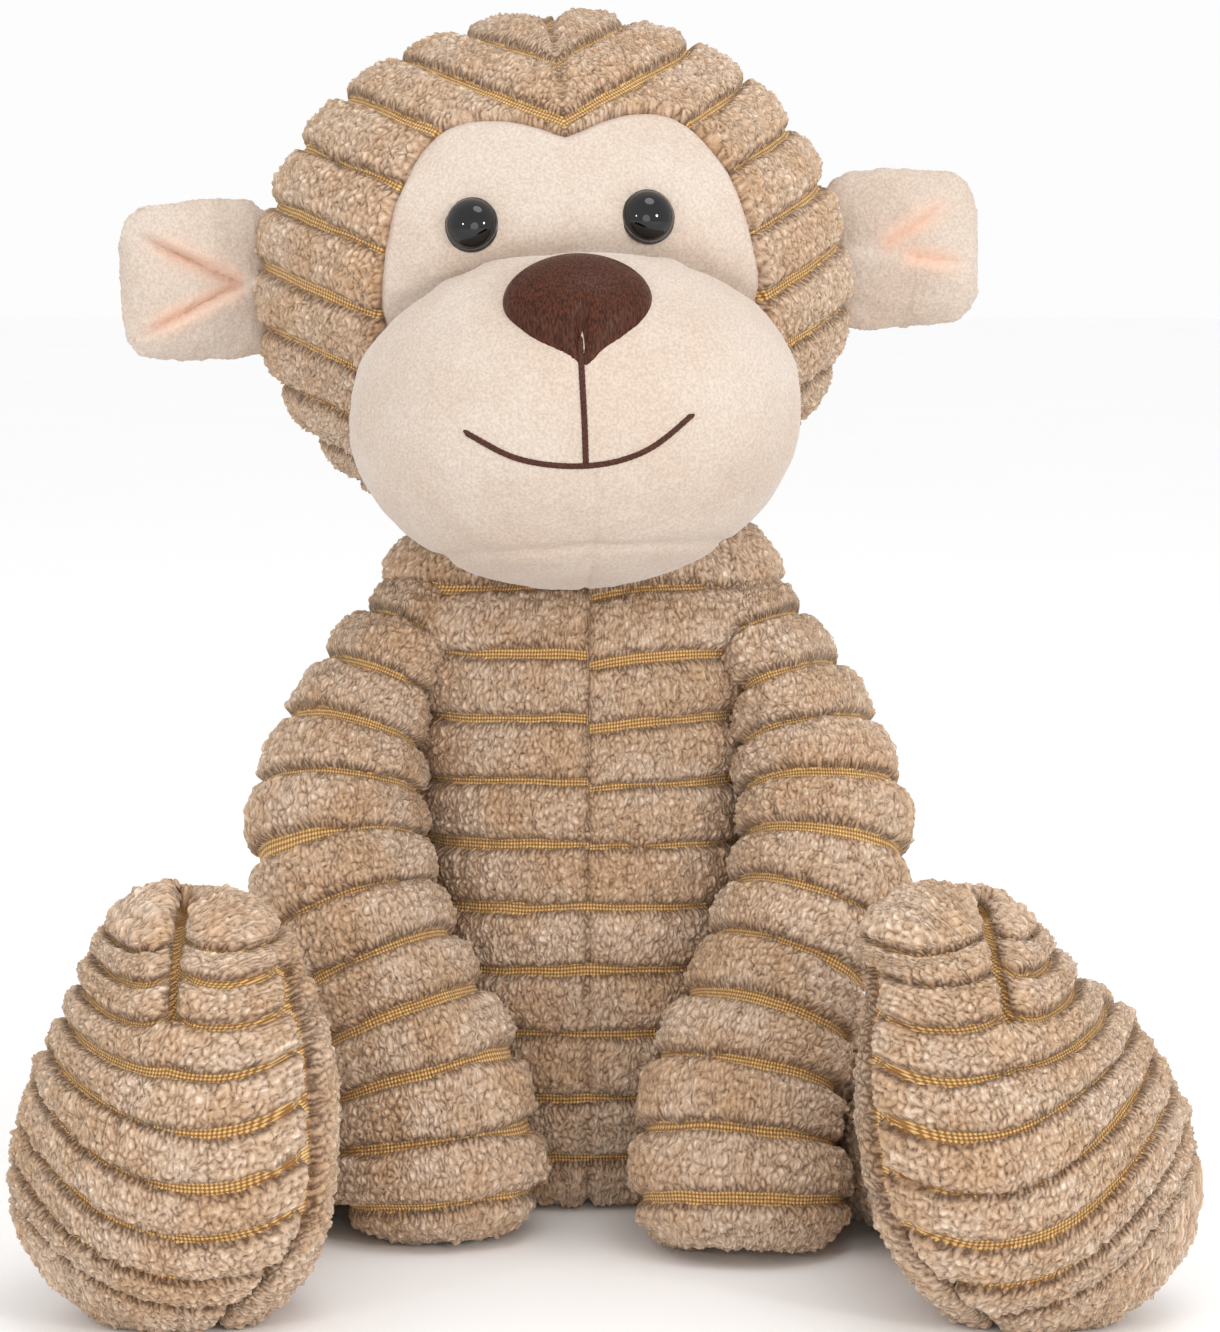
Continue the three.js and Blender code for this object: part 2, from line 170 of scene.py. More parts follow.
def set_co(mesh, co):
    mesh.vertices.foreach_set("co", (co * MM).astype(np.float32).ravel())
    mesh.update()


def add_value(mesh, name, values):
    kind = "FLOAT_VECTOR" if values.ndim == 2 else "FLOAT"
    layer = mesh.attributes.new(name, kind, "POINT")
    layer.data.foreach_set("vector" if values.ndim == 2 else "value", values.astype(np.float32).ravel())


def linked(name, mesh):
    obj = bpy.data.objects.new(name, mesh)
    scene.collection.objects.link(obj)
    return obj


def applied(obj):
    """Replaces an object's mesh by what its modifiers make of it."""
    graph = bpy.context.evaluated_depsgraph_get()
    made = bpy.data.meshes.new_from_object(obj.evaluated_get(graph))
    obj.modifiers.clear()
    old = obj.data
    obj.data = made
    bpy.data.meshes.remove(old)


def modify(obj, kind, **settings):
    mod = obj.modifiers.new(kind.lower(), kind)
    for key, value in settings.items():
        setattr(mod, key, value)
    applied(obj)


def closed_form(name, nodes, voxel=5.0, rounding=5, regain=1.4):
    """One closed, rounded form around CAD nodes."""
    bm = bmesh.new()
    for node in nodes:
        bm.from_mesh(frame["nodes"][node].data)
    mesh = bpy.data.meshes.new(name)
    bm.to_mesh(mesh)
    bm.free()
    obj = linked(name, mesh)
    modify(obj, "REMESH", mode="VOXEL", voxel_size=voxel * MM)
    modify(obj, "SMOOTH", factor=0.5, iterations=rounding)
    set_co(obj.data, co_of(obj.data) + regain * normals_of(obj.data))
    return obj


def puffed(obj, sewn, pressure=4.0, cap=2.5):
    """Swells a form as cloth, held where the mask sewn is true, and no point moving further than cap."""
    before = co_of(obj.data)
    group = obj.vertex_groups.new(name="sewn")
    group.add([int(i) for i in np.flatnonzero(sewn)], 1.0, "REPLACE")
    cloth = obj.modifiers.new("cloth", "CLOTH")
    cloth.settings.use_pressure = True
    cloth.settings.uniform_pressure_force = pressure
    cloth.settings.effector_weights.gravity = 0
    cloth.settings.vertex_group_mass = "sewn"
    cloth.point_cache.frame_start = 1
    cloth.point_cache.frame_end = 20
    for step in range(1, 21):
        scene.frame_set(step)
    graph = bpy.context.evaluated_depsgraph_get()
    swollen = co_of(obj.evaluated_get(graph).data)
    obj.modifiers.clear()
    obj.vertex_groups.clear()
    scene.frame_set(1)
    move = swollen - before
    length = np.maximum(np.linalg.norm(move, axis=1, keepdims=True), 1e-9)
    set_co(obj.data, before + move * np.minimum(1, cap / length))


def refined(obj, levels=3):
    modify(obj, "SUBSURF", levels=levels, subdivision_type="CATMULL_CLARK")


def finish_piece(obj, body, nodes, material):
    obj.data.materials.clear()
    obj.data.materials.append(material)
    obj.data.polygons.foreach_set("use_smooth", [True] * len(obj.data.polygons))
    obj.data.update()
    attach(obj, body)
    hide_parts(*nodes)


# ---- Wide-wale plush

def raise_wales(obj, across, along, pitch=WALE, phase=0.0, seams=None, mask=None, seed=0, height=PILE,
                gold=GOLD_GAP, sink=2.5, gold_seams=None, plain=None):
    """Raises the wales and tufts of plush. across gives each point's place across the wales and along its two
    places along them; seams is the distance to the nearest seam, and gold_seams to the nearest seam that shows the ground cloth. mask
    says where there is any pile, and plain where it has no wales."""
    p = co_of(obj.data)
    n = normals_of(obj.data)
    w = across(p) + 0.55 * noise(p, 22, seed + 1) + 0.25 * noise(p, 7, seed + 2)
    turn = (w - phase) / pitch
    lane = np.floor(turn + 0.5)
    from_groove = pitch * np.abs(turn - lane)
    shifted = p + lane[:, None] * 37.0
    u, v, t = along(p)
    q = np.stack([w / 2.3, u / 1.65, v / 1.65], axis=1)
    q += 0.3 * np.stack([noise(p, 3.1, seed + 20 + k) for k in range(3)], axis=1)
    dome, lot = tufts(q, seed + 4)
    fine, _ = tufts(q * 2.1 + 11, seed + 5)
    gap = gold * (1 + 0.9 * noise(shifted, 19, seed + 3) + 0.3 * noise(shifted, 5, seed + 9))
    gap = np.clip(gap, 0.25, 1.5) - 0.5 * (lot - 0.4)
    in_pile = from_groove - gap
    if plain is not None:
        in_pile = in_pile + plain * pitch
    if gold_seams is not None:
        in_pile = np.minimum(in_pile, gold_seams - 0.9)
    rise = np.clip(in_pile / (pitch / 2 - gap), 0, 1)
    crown = np.sqrt(1 - (1 - rise) ** 3.4)
    lumps = 0.6 * noise(p, 6, seed + 6) + 0.6 * noise(p, 13, seed + 7)
    sewn = np.ones(len(p)) if seams is None else smooth_step(0.1, 1.9, seams)
    cover = np.ones(len(p)) if mask is None else mask
    tall = crown * (0.3 + 0.7 * sewn)
    up = height * tall + crown ** 0.5 * (0.4 + 0.6 * sewn) * ((0.55 + 0.75 * lot) * dome + 0.35 * fine)
    up += 0.55 * lumps * tall + 1.1 * noise(p, 31, seed + 40) - GROUND
    sway = np.stack([noise(p, 1.9, seed + 30 + k) for k in range(3)], axis=1) * (0.5 * crown)[:, None]
    moved = p + n * (up * cover - (1 - cover) * sink)[:, None] + sway * cover[:, None]
    moved[:, 2] = np.maximum(moved[:, 2], 0.2)
    set_co(obj.data, moved)
    # Painted shade and highlight for the pile's colour: high on tuft tops, low in the gaps between tufts, and lower
    # towards the grooves and near the seams, as if shade fell there.
    depth = np.clip(0.62 * dome + 0.18 * fine + 0.2 * lot, 0, 1) * (0.25 + 0.75 * smooth_step(0.0, 2.0, in_pile))
    add_value(obj.data, "tuft_shade", depth * (0.55 + 0.45 * sewn))
    add_value(obj.data, "pile", in_pile + 0.2)
    add_value(obj.data, "weave", np.stack([w, t, 0 * t], axis=1))


# ---- Materials

def node_tree(name):
    material = bpy.data.materials.new(name)
    material.use_nodes = True
    return material, material.node_tree, material.node_tree.nodes["Principled BSDF"]


def srgb(r, g, b):
    return tuple(((c / 255) / 12.92 if c <= 10 else ((c / 255 + 0.055) / 1.055) ** 2.4) for c in (r, g, b)) + (1.0,)


def add(tree, kind, **settings):
    node = tree.nodes.new(kind)
    for key, value in settings.items():
        setattr(node, key, value)
    return node


def attribute(tree, name):
    return add(tree, "ShaderNodeAttribute", attribute_name=name)


def mixed_colour(tree, factor, first, second, blend="MIX"):
    node = add(tree, "ShaderNodeMix", data_type="RGBA", blend_type=blend)
    for socket, value in ((node.inputs[0], factor), (node.inputs[6], first), (node.inputs[7], second)):
        if isinstance(value, bpy.types.NodeSocket):
            tree.links.new(value, socket)
        else:
            socket.default_value = value
    return node.outputs[2]


def ranged(tree, value, low, high, to_low=0.0, to_high=1.0):
    node = add(tree, "ShaderNodeMapRange", interpolation_type="SMOOTHSTEP")
    tree.links.new(value, node.inputs[0])
    for k, x in enumerate((low, high, to_low, to_high), start=1):
        node.inputs[k].default_value = x
    return node.outputs[0]


def calc(tree, operation, a, b=0.0):
    node = add(tree, "ShaderNodeMath", operation=operation)
    for socket, value in ((node.inputs[0], a), (node.inputs[1], b)):
        if isinstance(value, bpy.types.NodeSocket):
            tree.links.new(value, socket)
        else:
            socket.default_value = value
    return node.outputs[0]


def noise_node(tree, coords, scale, detail=2.0):
    node = add(tree, "ShaderNodeTexNoise")
    node.inputs["Scale"].default_value = scale
    node.inputs["Detail"].default_value = detail
    tree.links.new(coords, node.inputs["Vector"])
    return node.outputs["Fac"]


def bump(tree, shader, height, strength, distance):
    node = add(tree, "ShaderNodeBump")
    node.inputs["Strength"].default_value = strength
    node.inputs["Distance"].default_value = distance * MM
    tree.links.new(height, node.inputs["Height"])
    tree.links.new(node.outputs["Normal"], shader.inputs["Normal"])


def plush_material():
    material, tree, shader = node_tree("wale_plush")
    place = add(tree, "ShaderNodeTexCoord").outputs["Object"]
    fibre = noise_node(tree, place, 1900, 3)
    patch = noise_node(tree, place, 60, 3)
    tuft_shade = attribute(tree, "tuft_shade").outputs["Fac"]
    lie = add(tree, "ShaderNodeMapping")
    lie.inputs["Scale"].default_value = (1 / 1.9, 1 / 1.15, 1)
    tree.links.new(attribute(tree, "weave").outputs["Vector"], lie.inputs["Vector"])
    wander = add(tree, "ShaderNodeTexNoise")
    wander.inputs["Scale"].default_value = 300
    tree.links.new(place, wander.inputs["Vector"])
    swerve = add(tree, "ShaderNodeVectorMath", operation="MULTIPLY_ADD")
    swerve.inputs[1].default_value = (0.9, 0.9, 0)
    tree.links.new(wander.outputs["Color"], swerve.inputs[0])
    tree.links.new(lie.outputs["Vector"], swerve.inputs[2])
    nubs = add(tree, "ShaderNodeTexVoronoi", feature="DISTANCE_TO_EDGE", voronoi_dimensions="2D")
    nubs.inputs["Scale"].default_value = 1
    tree.links.new(swerve.outputs["Vector"], nubs.inputs["Vector"])
    nub = ranged(tree, nubs.outputs["Distance"], -0.05, 0.42)
    # Painted light: the pile is lighter on tuft tops and nub middles and darker in the gaps between them, as shade
    # would fall, with a random fibre speckle. The dark, mid and light tans are shaded and lit copies of one pile
    # colour.
    lit = calc(tree, "ADD", calc(tree, "MULTIPLY", tuft_shade, 0.6), calc(tree, "MULTIPLY", fibre, 0.3))
    lit = calc(tree, "ADD", lit, calc(tree, "MULTIPLY", nub, 0.24))
    pile = mixed_colour(tree, ranged(tree, lit, 0.15, 0.6), srgb(100, 74, 55), srgb(211, 181, 154))
    pile = mixed_colour(tree, ranged(tree, lit, 0.5, 1.0), pile, srgb(244, 226, 208))
    tone = mixed_colour(tree, ranged(tree, patch, 0.3, 0.7), srgb(240, 226, 208), srgb(255, 255, 255))
    pile = mixed_colour(tree, 1.0, pile, tone, "MULTIPLY")
    weave = add(tree, "ShaderNodeSeparateXYZ")
    tree.links.new(attribute(tree, "weave").outputs["Vector"], weave.inputs[0])
    total = calc(tree, "ADD", weave.outputs[0], weave.outputs[1])
    apart = calc(tree, "SUBTRACT", weave.outputs[0], weave.outputs[1])
    waves = [calc(tree, "SINE", calc(tree, "MULTIPLY", v, 2 * math.pi / 1.7)) for v in (total, apart)]
    cells = calc(tree, "MULTIPLY", *waves)
    gold = mixed_colour(tree, ranged(tree, cells, -0.1, 0.35), srgb(166, 116, 62), srgb(246, 206, 138))
    edge = calc(tree, "ADD", attribute(tree, "pile").outputs["Fac"], calc(tree, "MULTIPLY", fibre, 0.5))
    colour = mixed_colour(tree, ranged(tree, edge, 0.28, 0.5), gold, pile)
    tree.links.new(colour, shader.inputs["Base Color"])
    tree.links.new(ranged(tree, fibre, 0.3, 0.7, 1.0, 0.86), shader.inputs["Roughness"])
    shader.inputs["Specular IOR Level"].default_value = 0.2
    shader.inputs["Sheen Weight"].default_value = 0.35
    shader.inputs["Sheen Roughness"].default_value = 0.5
    shader.inputs["Sheen Tint"].default_value = srgb(255, 240, 220)
    bump(tree, shader, calc(tree, "ADD", calc(tree, "MULTIPLY", fibre, 0.7), nub), 0.8, 0.7)
    return material


def cream_material():
    material, tree, shader = node_tree("cream_pile")
    place = add(tree, "ShaderNodeTexCoord").outputs["Object"]
    fibre = noise_node(tree, place, 1500, 3)
    patch = noise_node(tree, place, 45, 4)
    base = mixed_colour(tree, ranged(tree, fibre, 0.3, 0.7), srgb(196, 180, 166), srgb(213, 199, 186))
    tone = mixed_colour(tree, ranged(tree, patch, 0.35, 0.65), srgb(249, 244, 240), srgb(255, 255, 255))
    base = mixed_colour(tree, 1.0, base, tone, "MULTIPLY")
    blush = attribute(tree, "blush").outputs["Fac"]
    base = mixed_colour(tree, blush, base, srgb(236, 190, 164))
    tree.links.new(base, shader.inputs["Base Color"])
    tree.links.new(ranged(tree, fibre, 0.3, 0.7, 0.96, 0.82), shader.inputs["Roughness"])
    shader.inputs["Specular IOR Level"].default_value = 0.2
    shader.inputs["Sheen Weight"].default_value = 0.35
    shader.inputs["Sheen Roughness"].default_value = 0.4
    bump(tree, shader, fibre, 0.5, 0.35)
    return material


def grained_material(name, dark, light, roughness, grain, specular=0.5, relief=0.0):
    """A material with a fine grain in its tone, its gloss and, where there is relief, its surface."""
    material, tree, shader = node_tree(name)
    place = add(tree, "ShaderNodeTexCoord").outputs["Object"]
    uneven = noise_node(tree, place, grain, 3)
    tree.links.new(mixed_colour(tree, ranged(tree, uneven, 0.3, 0.7), dark, light), shader.inputs["Base Color"])
    tree.links.new(ranged(tree, uneven, 0.3, 0.7, 1.2 * roughness, 0.8 * roughness), shader.inputs["Roughness"])
    shader.inputs["Specular IOR Level"].default_value = specular
    if relief:
        bump(tree, shader, uneven, 0.4, relief)
    return material


def nose_material():
    material, tree, shader = node_tree("nose_satin")
    place = add(tree, "ShaderNodeTexCoord").outputs["Object"]
    stretch = add(tree, "ShaderNodeMapping")
    stretch.inputs["Scale"].default_value = (2600, 2600, 500)
    tree.links.new(place, stretch.inputs["Vector"])
    grain = noise_node(tree, stretch.outputs["Vector"], 1.0, 2)
    colour = mixed_colour(tree, ranged(tree, grain, 0.3, 0.7), srgb(44, 19, 10), srgb(88, 46, 28))
    tree.links.new(colour, shader.inputs["Base Color"])
    tree.links.new(ranged(tree, grain, 0.3, 0.7, 0.5, 0.36), shader.inputs["Roughness"])
    shader.inputs["Specular IOR Level"].default_value = 0.18
    shader.inputs["Sheen Weight"].default_value = 0.02
    shader.inputs["Sheen Tint"].default_value = srgb(205, 150, 120)
    bump(tree, shader, grain, 0.35, 0.2)
    return material


PLUSH = plush_material()
CREAM = cream_material()
NOSE = nose_material()
THREAD = grained_material("mouth_thread", srgb(50, 21, 12), srgb(84, 42, 26), 0.55, 2600, specular=0.3, relief=0.15)
EYE = grained_material("eye_black", srgb(4, 3, 4), srgb(12, 10, 11), 0.045, 160, specular=0.5)
RIM = grained_material("eye_rim", srgb(44, 40, 38), srgb(70, 65, 62), 0.28, 900, relief=0.05)


# ---- Torso

def torso_piece():
    nodes = ["torso_front_left", "torso_front_right", "torso_back_left", "torso_back_right"]
    obj = closed_form("torso_cover", nodes + ["torso_stuffing"], voxel=5.2)
    low, high = box_mm(*nodes)
    middle = (low + high) / 2
    p = co_of(obj.data)
    puffed(obj, (np.abs(p[:, 0] - middle[0]) < 3.5) | (p[:, 2] < 6), cap=2.0)
    p = co_of(obj.data)
    shoulders = 0.27 * smooth_step(128, 150, p[:, 2]) - 0.1 * smooth_step(154, 166, p[:, 2])
    behind = smooth_step(-5, 18, p[:, 1] - middle[1])
    corners = behind * smooth_step(18, 42, np.abs(p[:, 0] - middle[0])) * smooth_step(132, 165, p[:, 2])
    p[:, 0] = middle[0] + (p[:, 0] - middle[0]) * (1 + shoulders * (1 - 0.5 * behind))
    p[:, 2] -= 7 * corners
    chin_room = 9 * smooth_step(-12, -26, p[:, 1])
    p[:, 2] += (11 - chin_room) * smooth_step(140, 162, p[:, 2])
    set_co(obj.data, p)
    refined(obj)

    def across(p):
        aside = p[:, 0] - middle[0]
        front = (p[:, 1] < middle[1]) * smooth_step(75, 125, p[:, 2])
        dip = np.where(aside > 0, 3.6 * np.exp(-aside / 13), 0.7 * np.exp(aside / 7))
        return p[:, 2] + dip * front + 0.006 * np.abs(aside) ** 1.5

    p = co_of(obj.data)
    seams = np.abs(p[:, 0] - middle[0])

    def along(p):
        turn = np.arctan2(p[:, 0] - middle[0], middle[1] - p[:, 1])
        return p[:, 0], p[:, 1], turn * 42

    raise_wales(obj, across, along, phase=152.7, seams=seams, seed=10)
    finish_piece(obj, "torso", nodes + ["seat_panel", "torso_stuffing", "pellet_pouch"], PLUSH)


# ---- Arms

def spine_of(obj, slices=14):
    """The middles of a form's level slices, from top to bottom, with the length run down to each."""
    p = co_of(obj.data)
    top, bottom = p[:, 2].max() - 7, p[:, 2].min() + 9
    levels = np.linspace(top, bottom, slices)
    middles = []
    for z in levels:
        near = p[np.abs(p[:, 2] - z) < 5]
        middles.append([(near[:, 0].min() + near[:, 0].max()) / 2, (near[:, 1].min() + near[:, 1].max()) / 2, z])
    middles = np.array(middles)
    for _ in range(3):
        middles[1:-1] = (middles[:-2] + 2 * middles[1:-1] + middles[2:]) / 4
    steps = np.linalg.norm(np.diff(middles, axis=0), axis=1)
    return middles, np.concatenate([[0], np.cumsum(steps)])


def along_spine(p, middles, run):
    """How far along a spine each point is, and the point's offset from the spine there."""
    tangents = np.gradient(middles, axis=0)
    tangents /= np.linalg.norm(tangents, axis=1, keepdims=True)
    gone = np.zeros(len(p))
    off = np.zeros((len(p), 3))
    weight = np.zeros(len(p))
    for c, t, s in zip(middles, tangents, run):
        d = p - c
        forward = d @ t
        share = np.exp(-(forward / 7) ** 2) + 1e-9
        gone += share * (s + forward)
        off += share[:, None] * (d - forward[:, None] * t)
        weight += share
    return gone / weight, off / weight[:, None]


def arm_piece(side):
    nodes = [f"{side}_arm_back", f"{side}_arm_front"]
    obj = closed_form(f"{side}_arm_cover", nodes + [f"{side}_arm_stuffing"], voxel=5.0)
    p = co_of(obj.data)
    shoulder = joint_at(f"{side}_shoulder")
    inside = (np.abs(p[:, 0]) - abs(shoulder[0])) < 2.5
    puffed(obj, inside & (p[:, 2] > shoulder[2] - 20), cap=2.0)
    sign = 1 if side == "left" else -1
    p = co_of(obj.data)
    p[:, 0] -= sign * (8.5 * smooth_step(112, 150, p[:, 2]) - 2 * np.exp(-((p[:, 2] - 85) / 22) ** 2))
    p[:, 2] -= 5 * smooth_step(138, 160, p[:, 2])
    low = p[p[:, 2] < 22]
    palm = (low.min(0) + low.max(0)) / 2
    p[:, :2] += (p[:, :2] - palm[:2]) * (0.28 * smooth_step(34, 6, p[:, 2]))[:, None]
    p[:, 0] += sign * 2.5 * smooth_step(40, 8, p[:, 2])
    if side == "left":
        p[:, 0] -= 3.5 * smooth_step(62, 22, p[:, 2])
        p[:, 1] -= 5 * smooth_step(62, 16, p[:, 2])
    set_co(obj.data, p)
    middles, run = spine_of(obj)
    refined(obj)

    def across(p):
        gone, _ = along_spine(p, middles, run)
        end = run[-1] - 8
        past = np.clip(gone - end, 0, 19)
        return np.where(gone > end, end + 20 * np.arcsin(past / 20), gone)

    def along(p):
        _, off = along_spine(p, middles, run)
        return off[:, 0], off[:, 1], np.arctan2(off[:, 0], -off[:, 1]) * 20

    p = co_of(obj.data)
    _, off = along_spine(p, middles, run)
    seams = np.abs(off[:, 1] + 0.25 * sign * off[:, 0])
    seams = np.where(off[:, 0] * sign < 0, seams, 9.0)
    raise_wales(obj, across, along, pitch=14.6, phase=6, seams=seams, seed=30 + sign)
    finish_piece(obj, f"{side}_arm", nodes + [f"{side}_arm_stuffing"], PLUSH)


# ---- Legs and feet

def leg_piece(side):
    nodes = [f"{side}_leg_top", f"{side}_leg_under"]
    obj = closed_form(f"{side}_leg_cover", nodes + [f"{side}_leg_stuffing"], voxel=5.0)
    refined(obj)
    axis = joint_axis(f"{side}_hip")
    ahead = np.cross(axis, [0, 0, 1])
    hip = joint_at(f"{side}_hip")

    def along(p):
        d = p - hip
        return d @ axis, d[:, 2], np.arctan2(d @ axis, d[:, 2]) * 20

    raise_wales(obj, lambda p: (p - hip) @ ahead, along, pitch=14.6, phase=4, seed=50, height=2.6)
    finish_piece(obj, f"{side}_leg", nodes + [f"{side}_leg_stuffing"], PLUSH)


def foot_piece(side):
    nodes = [f"{side}_foot_sole", f"{side}_foot_upper"]
    obj = closed_form(f"{side}_foot_cover", nodes + [f"{side}_foot_stuffing"], voxel=4.6)
    sign = 1 if side == "left" else -1
    low, high = box_mm(*nodes)
    p = co_of(obj.data)
    heel = p[np.abs(p[:, 2] - 20) < 4]
    toe = p[np.abs(p[:, 2] - 75) < 4]
    ends = [(v.min(0) + v.max(0)) / 2 for v in (heel, toe)]
    slope = (ends[1] - ends[0]) / (ends[1][2] - ends[0][2])
    centre_z = (low[2] + high[2]) / 2
    tilt = 0.36 if side == "left" else 0.18
    outer_fall, inner_fall = (9.0, 1.0) if side == "left" else (8.0, 2.5)

    def local(p):
        line = ends[0] + slope * (p[:, 2:3] - ends[0][2])
        d = p - line
        return d[:, 0] * sign, d[:, 1], p[:, 2]

    out, deep, up = local(p)
    puffed(obj, (np.abs(out) < 3) & (up > 74) | (np.abs(deep) < 3), cap=2.5)
    p = co_of(obj.data)
    out, deep, up = local(p)
    toes = smooth_step(70, 90, up)
    inner, outer, drawn = (0.12, 0.02, 3.0) if side == "left" else (0.26, 0.04, 0.0)
    wider = np.where(out > 0, outer, inner) * toes
    wider -= np.where(out > 0, 0.13 * np.exp(-((up - 74) / 16) ** 2) - 0.05 * np.exp(-((up - 20) / 16) ** 2), 0)
    p[:, 0] += sign * (wider * out - drawn * toes)
    p[:, 2] += smooth_step(76, 92, up) * (3.4 * (1 - np.exp(-(out / 6) ** 2)) - 1.5)
    falls = (0.42, 0.05) if side == "left" else (0.05, 0.36)
    p[:, 2] -= smooth_step(64, 88, up) * (falls[0] * np.clip(out - 3, 0, 30) + falls[1] * np.clip(-out - 3, 0, 30))
    set_co(obj.data, p)
    refined(obj)

    def across(p):
        out, deep, up = local(p)
        front = smooth_step(16, -2, deep)
        h = up - centre_z - front * (tilt * out + 0.012 * out ** 2)
        parted = front * smooth_step(50, 80, up)
        h += parted * np.where(out > 1, outer_fall, inner_fall) * (1 - np.exp(-np.abs(out - 1) / 7))
        return 42 * np.arcsin(np.clip(h / 42, -0.97, 0.97)) * 0.9 + 0.1 * h

    def along(p):
        out, deep, up = local(p)
        return out, deep, out + deep

    p = co_of(obj.data)
    out, deep, up = local(p)
    dart = np.hypot(np.abs(out - 1), np.minimum(up - 72, 0))
    dart = np.where(deep < 6, dart, 9.0)
    edge = np.array([(-out[np.abs(up - z) < 2.5]).max() for z in range(3, 92)])
    inset = (3.2 if side == "right" else 2.0) + 8 * smooth_step(30, 4, up)
    past = out + np.interp(up, np.arange(3, 92), edge) - inset
    band = (deep < 9) * smooth_step(84, 76, up)
    seam = np.where(band > 0.5, np.abs(past), 9.0)
    crease = 3.2 * np.exp(-(dart / 2.8) ** 2) + 1.8 * band * np.exp(-(past / 1.8) ** 2)
    set_co(obj.data, co_of(obj.data) - normals_of(obj.data) * crease[:, None])
    raise_wales(obj, across, along, pitch=FOOT_WALE, phase=1.3, seed=60 + sign,
                gold_seams=np.minimum(dart - 0.7, seam), plain=band * smooth_step(0.5, -0.5, past))
    finish_piece(obj, f"{side}_leg", nodes + [f"{side}_foot_stuffing"], PLUSH)


# ---- Head

def face_outline(steps=14):
    """The edge of the face in the head's own left and up directions, all round."""
    side, brow = 45.0, 40.0
    curves = [
        ((0, 35), (6, brow - 3), (10, brow), (19, brow)),
        ((19, brow), (33, brow), (side - 4, 27), (side, 2)),
        ((side, 2), (side + 4, -22), (side - 6, -44), (0, -46)),
    ]
    right = []
    for a, b, c, d in curves:
        for t in np.arange(steps) / steps:
            s = 1 - t
            right.append(s ** 3 * np.array(a) + 3 * s * s * t * np.array(b) + 3 * s * t * t * np.array(c) + t ** 3 * np.array(d))
    right = np.array(right)
    left = right[::-1] * [-1, 1]
    return np.concatenate([right, left[:-1]])


def inside_face(q):
    """How far inside the face's edge each point is, in the head's own frame; less than nothing is outside."""
    outline = face_outline()
    flat = q[:, [0, 2]]
    nearest = np.full(len(q), 1e9)
    crossed = np.zeros(len(q), bool)
    for a, b in zip(outline, np.roll(outline, -1, axis=0)):
        ab = b - a
        t = np.clip(((flat - a) @ ab) / (ab @ ab), 0, 1)
        nearest = np.minimum(nearest, np.linalg.norm(flat - a - t[:, None] * ab, axis=1))
        straddles = (a[1] > flat[:, 1]) != (b[1] > flat[:, 1])
        at = a[0] + (flat[:, 1] - a[1]) / np.where(ab[1] == 0, 1e-9, ab[1]) * ab[0]
        crossed ^= straddles & (flat[:, 0] < at)
    distance = np.where(crossed, nearest, -nearest)
    return np.where(q[:, 1] < 8, distance, -30.0)


def hood_piece():
    nodes = ["hood_left", "hood_right"]
    obj = closed_form("hood_cover", nodes + ["face_panel", "head_stuffing"], voxel=5.2)
    p = co_of(obj.data)
    q = to_head(p)
    puffed(obj, (np.abs(q[:, 0]) < 3) | (np.abs(inside_face(q)) < 4), cap=1.5)
    refined(obj)
    lean = math.radians(26)

    def across(p):
        q = to_head(p)
        h = q[:, 2] * math.cos(lean) - np.abs(q[:, 0]) * math.sin(lean)
        return 64 * np.arcsin(np.clip(h / 64, -0.985, 0.985))

    def along(p):
        q = to_head(p)
        cross = np.abs(q[:, 0]) * math.cos(lean) + q[:, 2] * math.sin(lean)
        return cross, q[:, 1], 62 * np.arctan2(cross, -q[:, 1])

    q = to_head(co_of(obj.data))
    mask = smooth_step(1.5, -0.8, inside_face(q))
    raise_wales(obj, across, along, pitch=15.2, phase=5.3, seams=np.abs(q[:, 0]), mask=mask, seed=80, sink=6.5, height=2.1)
    finish_piece(obj, "head", nodes + ["head_stuffing"], PLUSH)


def nap(obj, seed, size=0.9, depth=0.12, lift=0.0):
    """Short pile on a smooth piece, with a slow unevenness under it."""
    p = co_of(obj.data)
    n = normals_of(obj.data)
    dome, _ = tufts(p / size, seed)
    up = depth * dome + 0.35 * noise(p, 9, seed + 1) + 0.15 * noise(p, 3, seed + 2) + lift
    set_co(obj.data, p + n * np.asarray(up)[:, None])


def face_piece():
    obj = closed_form("face_cover", ["hood_left", "hood_right", "face_panel", "head_stuffing"], voxel=5.2)
    refined(obj)
    p = co_of(obj.data)
    q = to_head(p)
    n = normals_of(obj.data)
    inside = inside_face(q)
    sunk = smooth_step(2.0, -3.0, inside)
    sockets = np.zeros(len(q))
    for side in (-1, 1):
        d = np.hypot(q[:, 0] - (20.4 * side - 2.6), q[:, 2] - 15.5)
        sockets += np.exp(-(d / 7.5) ** 2)
    ball = np.sqrt((((q - MUZZLE) / MUZZLE_HALF) ** 2).sum(1))
    seam = np.exp(-(np.maximum(ball - 1, 0) / 0.1) ** 2) * (q[:, 1] < 0)
    up = 0.4 - 5.6 * sunk - 1.2 * sockets * (q[:, 1] < 0) - 3.4 * seam
    set_co(obj.data, p + n * up[:, None])
    nap(obj, 100)
    add_value(obj.data, "blush", np.zeros(len(q)))
    finish_piece(obj, "head", ["face_panel"], CREAM)
    return obj


def on_surface(obj, x, z):
    """The place on a piece's front at a left and up place in the head's own frame, in world metres."""
    bpy.context.view_layer.update()
    toward = Vector(HEAD_AXES[1])
    _, spot, normal, _ = obj.ray_cast(Vector(from_head([x, -140, z]) * MM), toward)
    return spot, normal


